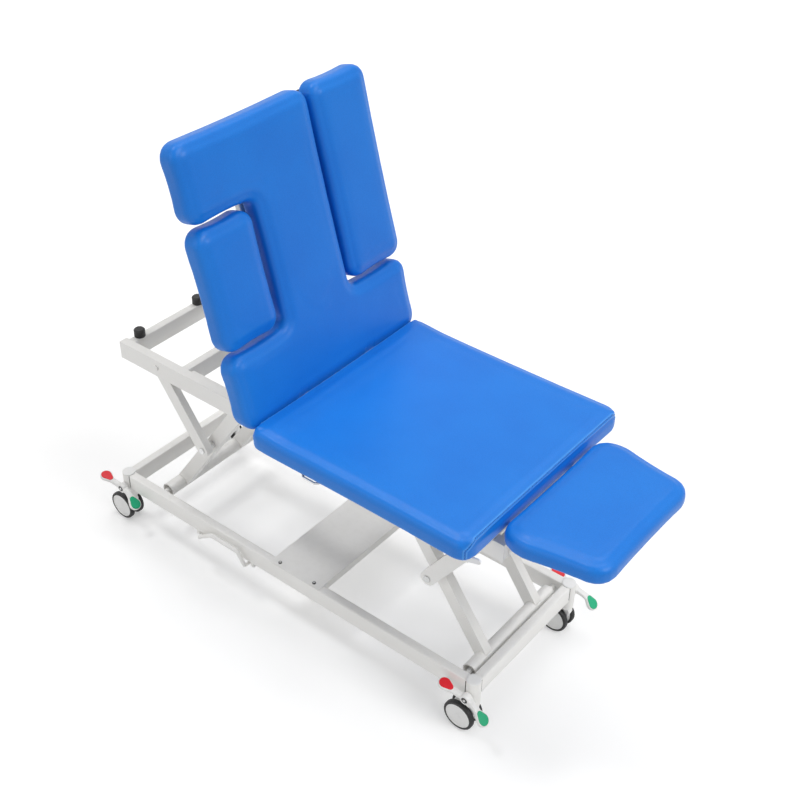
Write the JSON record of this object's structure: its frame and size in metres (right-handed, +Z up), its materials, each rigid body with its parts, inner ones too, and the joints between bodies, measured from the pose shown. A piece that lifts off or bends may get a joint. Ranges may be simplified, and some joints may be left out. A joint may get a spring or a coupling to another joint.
{
  "type": "electric ultrasound table",
  "caption": "Wheeled clinic table with a half-scissor electric lift, a fixed padded seat, a tilting backrest with swing-away wing cushions and a hinged leg section.",
  "frame": {"origin": "floor, under the middle of the table's box at rest", "axes": "+X towards the foot end, +Y towards the side away from the foot bar, +Z up"},
  "size_m": [1.85, 0.7, 1.57],
  "materials": {
    "powder_coat": "satin off-white powder coat",
    "leatherette": "fine-grained blue leatherette",
    "board": "plain plywood",
    "zinc_steel": "zinc plated",
    "rubber": "matt",
    "grey_plastic": "fine texture",
    "dark_plastic": "fine texture",
    "pedal_plastic": "satin"
  },
  "bodies": {
    "base": {"base_rail_near": "powder_coat", "base_rail_far": "powder_coat", "base_end_head": "powder_coat", "base_end_foot": "powder_coat", "tray": "powder_coat", "lift_actuator": "dark_plastic"},
    "head_arms": {"head_torsion_tube": "powder_coat", "head_lift_arm_near": "powder_coat", "head_lift_arm_far": "powder_coat", "head_pin_near": "zinc_steel", "head_pin_far": "zinc_steel"},
    "head_struts": {"head_strut_near": "powder_coat", "head_strut_far": "powder_coat"},
    "upper_frame": {"upper_rail_near": "powder_coat", "upper_rail_far": "powder_coat", "upper_cross_head": "powder_coat", "upper_cross_mid": "powder_coat", "upper_cross_foot": "powder_coat", "rubber_bumper_near": "rubber", "rubber_bumper_far": "rubber", "seat_frame": "powder_coat", "seat_board": "board", "seat_cushion": "leatherette", "control_box": "grey_plastic", "mains_inlet": "dark_plastic"},
    "foot_arms": {"foot_torsion_tube": "powder_coat", "foot_lift_arm_near": "powder_coat", "foot_lift_arm_far": "powder_coat", "foot_pin_near": "zinc_steel", "foot_pin_far": "zinc_steel"},
    "foot_struts": {"foot_strut_near": "powder_coat", "foot_strut_far": "powder_coat"},
    "lift_rod": {"lift_rod": "zinc_steel"},
    "backrest": {"back_frame": "powder_coat", "back_board": "board", "back_cushion": "leatherette"},
    "near_wing": {"near_wing_cushion": "leatherette", "near_wing_board": "board", "near_wing_hinge": "zinc_steel"},
    "far_wing": {"far_wing_cushion": "leatherette", "far_wing_board": "board", "far_wing_hinge": "zinc_steel"},
    "leg_section": {"leg_cushion": "leatherette", "leg_board": "board", "leg_frame": "powder_coat"},
    "gas_body": {"gas_spring_body": "dark_plastic"},
    "gas_rod": {"gas_spring_rod": "zinc_steel"},
    "back_handle": {"back_release_handle": "zinc_steel"},
    "leg_latch": {"leg_latch_lever": "powder_coat"},
    "foot_control": {"foot_control_bar": "powder_coat"},
    "head_pedals": {"head_brake_pedals": "pedal_plastic"},
    "foot_pedals": {"foot_brake_pedals": "pedal_plastic"},
    "swivel_head_near": {"caster_head_near": "grey_plastic"},
    "swivel_head_far": {"caster_head_far": "grey_plastic"},
    "swivel_foot_near": {"caster_foot_near": "grey_plastic"},
    "swivel_foot_far": {"caster_foot_far": "grey_plastic"},
    "wheels_head_near": {"wheels_head_near": "rubber"},
    "wheels_head_far": {"wheels_head_far": "rubber"},
    "wheels_foot_near": {"wheels_foot_near": "rubber"},
    "wheels_foot_far": {"wheels_foot_far": "rubber"}
  },
  "joints": [
    {"name": "lift", "type": "hinge", "parent": "base", "child": "head_arms", "pos_m": [-0.693, 0, 0.168], "axis": [0, 1, 0], "range_deg": [-20, 35]},
    {"name": "head_strut_turn", "type": "hinge", "parent": "head_arms", "child": "head_struts", "pos_m": [-0.5218, 0, 0.4125], "axis": [0, 1, 0], "range_deg": [-70.1, 40.1]},
    {"name": "upper_frame_turn", "type": "hinge", "parent": "head_struts", "child": "upper_frame", "pos_m": [-0.693, 0, 0.657], "axis": [0, 1, 0], "range_deg": [-20.1, 35.1]},
    {"name": "foot_arm_turn", "type": "hinge", "parent": "base", "child": "foot_arms", "pos_m": [0.544, 0, 0.168], "axis": [0, 1, 0], "range_deg": [-35.1, 20.1]},
    {"name": "foot_strut_turn", "type": "hinge", "parent": "foot_arms", "child": "foot_struts", "pos_m": [0.3728, 0, 0.4125], "axis": [0, 1, 0], "range_deg": [-40.1, 70.1]},
    {"name": "lift_rod_slide", "type": "slide", "parent": "base", "child": "lift_rod", "axis": [1, 0, 0], "range_m": [-0.029, 0.0505]},
    {"name": "backrest_tilt", "type": "hinge", "parent": "upper_frame", "child": "backrest", "pos_m": [-0.123, 0, 0.785], "axis": [0, 1, 0], "range_deg": [-75, 0]},
    {"name": "gas_spring_turn", "type": "hinge", "parent": "upper_frame", "child": "gas_body", "pos_m": [0.037, 0, 0.62], "axis": [0, 1, 0], "range_deg": [-15.2, 0.1]},
    {"name": "gas_spring_slide", "type": "slide", "parent": "gas_body", "child": "gas_rod", "axis": [-0.8154, 0, 0.579], "range_m": [-0.1003, 0.0003]},
    {"name": "near_wing_swing", "type": "hinge", "parent": "backrest", "child": "near_wing", "pos_m": [-0.19881, -0.198, 0.77815], "axis": [0.2588, 0, -0.9659], "range_deg": [0, 90]},
    {"name": "far_wing_swing", "type": "hinge", "parent": "backrest", "child": "far_wing", "pos_m": [-0.19881, 0.198, 0.77815], "axis": [-0.2588, 0, 0.9659], "range_deg": [0, 90]},
    {"name": "leg_section_drop", "type": "hinge", "parent": "upper_frame", "child": "leg_section", "pos_m": [0.634, 0, 0.7164], "axis": [0, 1, 0], "range_deg": [0, 80]},
    {"name": "back_handle_pull", "type": "hinge", "parent": "upper_frame", "child": "back_handle", "pos_m": [0.075, -0.285, 0.7215], "axis": [-1, 0, 0], "range_deg": [0, 12], "stiffness_Nm_per_rad": 0.5},
    {"name": "leg_latch_pull", "type": "hinge", "parent": "upper_frame", "child": "leg_latch", "pos_m": [0.567, -0.3028, 0.699], "axis": [0, -1, 0], "range_deg": [0, 15], "stiffness_Nm_per_rad": 0.3},
    {"name": "foot_control_rock", "type": "hinge", "parent": "base", "child": "foot_control", "pos_m": [-0.483, -0.245, 0.126], "axis": [1, 0, 0], "range_deg": [-6, 6], "stiffness_Nm_per_rad": 8},
    {"name": "foot_pedal_rock", "type": "hinge", "parent": "base", "child": "foot_pedals", "pos_m": [0.589, 0, 0.152], "axis": [0, -1, 0], "range_deg": [0, 30]},
    {"name": "head_pedal_rock", "type": "hinge", "parent": "base", "child": "head_pedals", "pos_m": [-0.835, 0, 0.152], "axis": [0, -1, 0], "range_deg": [0, 30]},
    {"name": "swivel_head_near", "type": "hinge", "parent": "base", "child": "swivel_head_near", "pos_m": [-0.835, -0.245, 0.1], "axis": [0, 0, 1], "continuous": true},
    {"name": "swivel_head_far", "type": "hinge", "parent": "base", "child": "swivel_head_far", "pos_m": [-0.835, 0.245, 0.1], "axis": [0, 0, 1], "continuous": true},
    {"name": "swivel_foot_near", "type": "hinge", "parent": "base", "child": "swivel_foot_near", "pos_m": [0.589, -0.245, 0.1], "axis": [0, 0, 1], "continuous": true},
    {"name": "swivel_foot_far", "type": "hinge", "parent": "base", "child": "swivel_foot_far", "pos_m": [0.589, 0.245, 0.1], "axis": [0, 0, 1], "continuous": true},
    {"name": "roll_head_near", "type": "hinge", "parent": "swivel_head_near", "child": "wheels_head_near", "pos_m": [-0.865, -0.245, 0.05], "axis": [0, 1, 0], "continuous": true},
    {"name": "roll_head_far", "type": "hinge", "parent": "swivel_head_far", "child": "wheels_head_far", "pos_m": [-0.865, 0.245, 0.05], "axis": [0, 1, 0], "continuous": true},
    {"name": "roll_foot_near", "type": "hinge", "parent": "swivel_foot_near", "child": "wheels_foot_near", "pos_m": [0.559, -0.245, 0.05], "axis": [0, 1, 0], "continuous": true},
    {"name": "roll_foot_far", "type": "hinge", "parent": "swivel_foot_far", "child": "wheels_foot_far", "pos_m": [0.559, 0.245, 0.05], "axis": [0, 1, 0], "continuous": true}
  ],
  "couplings": [
    {"joint": "head_strut_turn", "follows": "lift", "ratio": -2},
    {"joint": "upper_frame_turn", "follows": "lift", "ratio": 1},
    {"joint": "foot_arm_turn", "follows": "lift", "ratio": -1},
    {"joint": "foot_strut_turn", "follows": "lift", "ratio": 2},
    {"joint": "lift_rod_slide", "follows": "lift", "m_per_rad": 0.0824},
    {"joint": "gas_spring_turn", "follows": "backrest_tilt", "ratio": 0.20133},
    {"joint": "gas_spring_slide", "follows": "backrest_tilt", "m_per_rad": 0.076463},
    {"joint": "head_pedal_rock", "follows": "foot_pedal_rock", "ratio": 1}
  ]
}
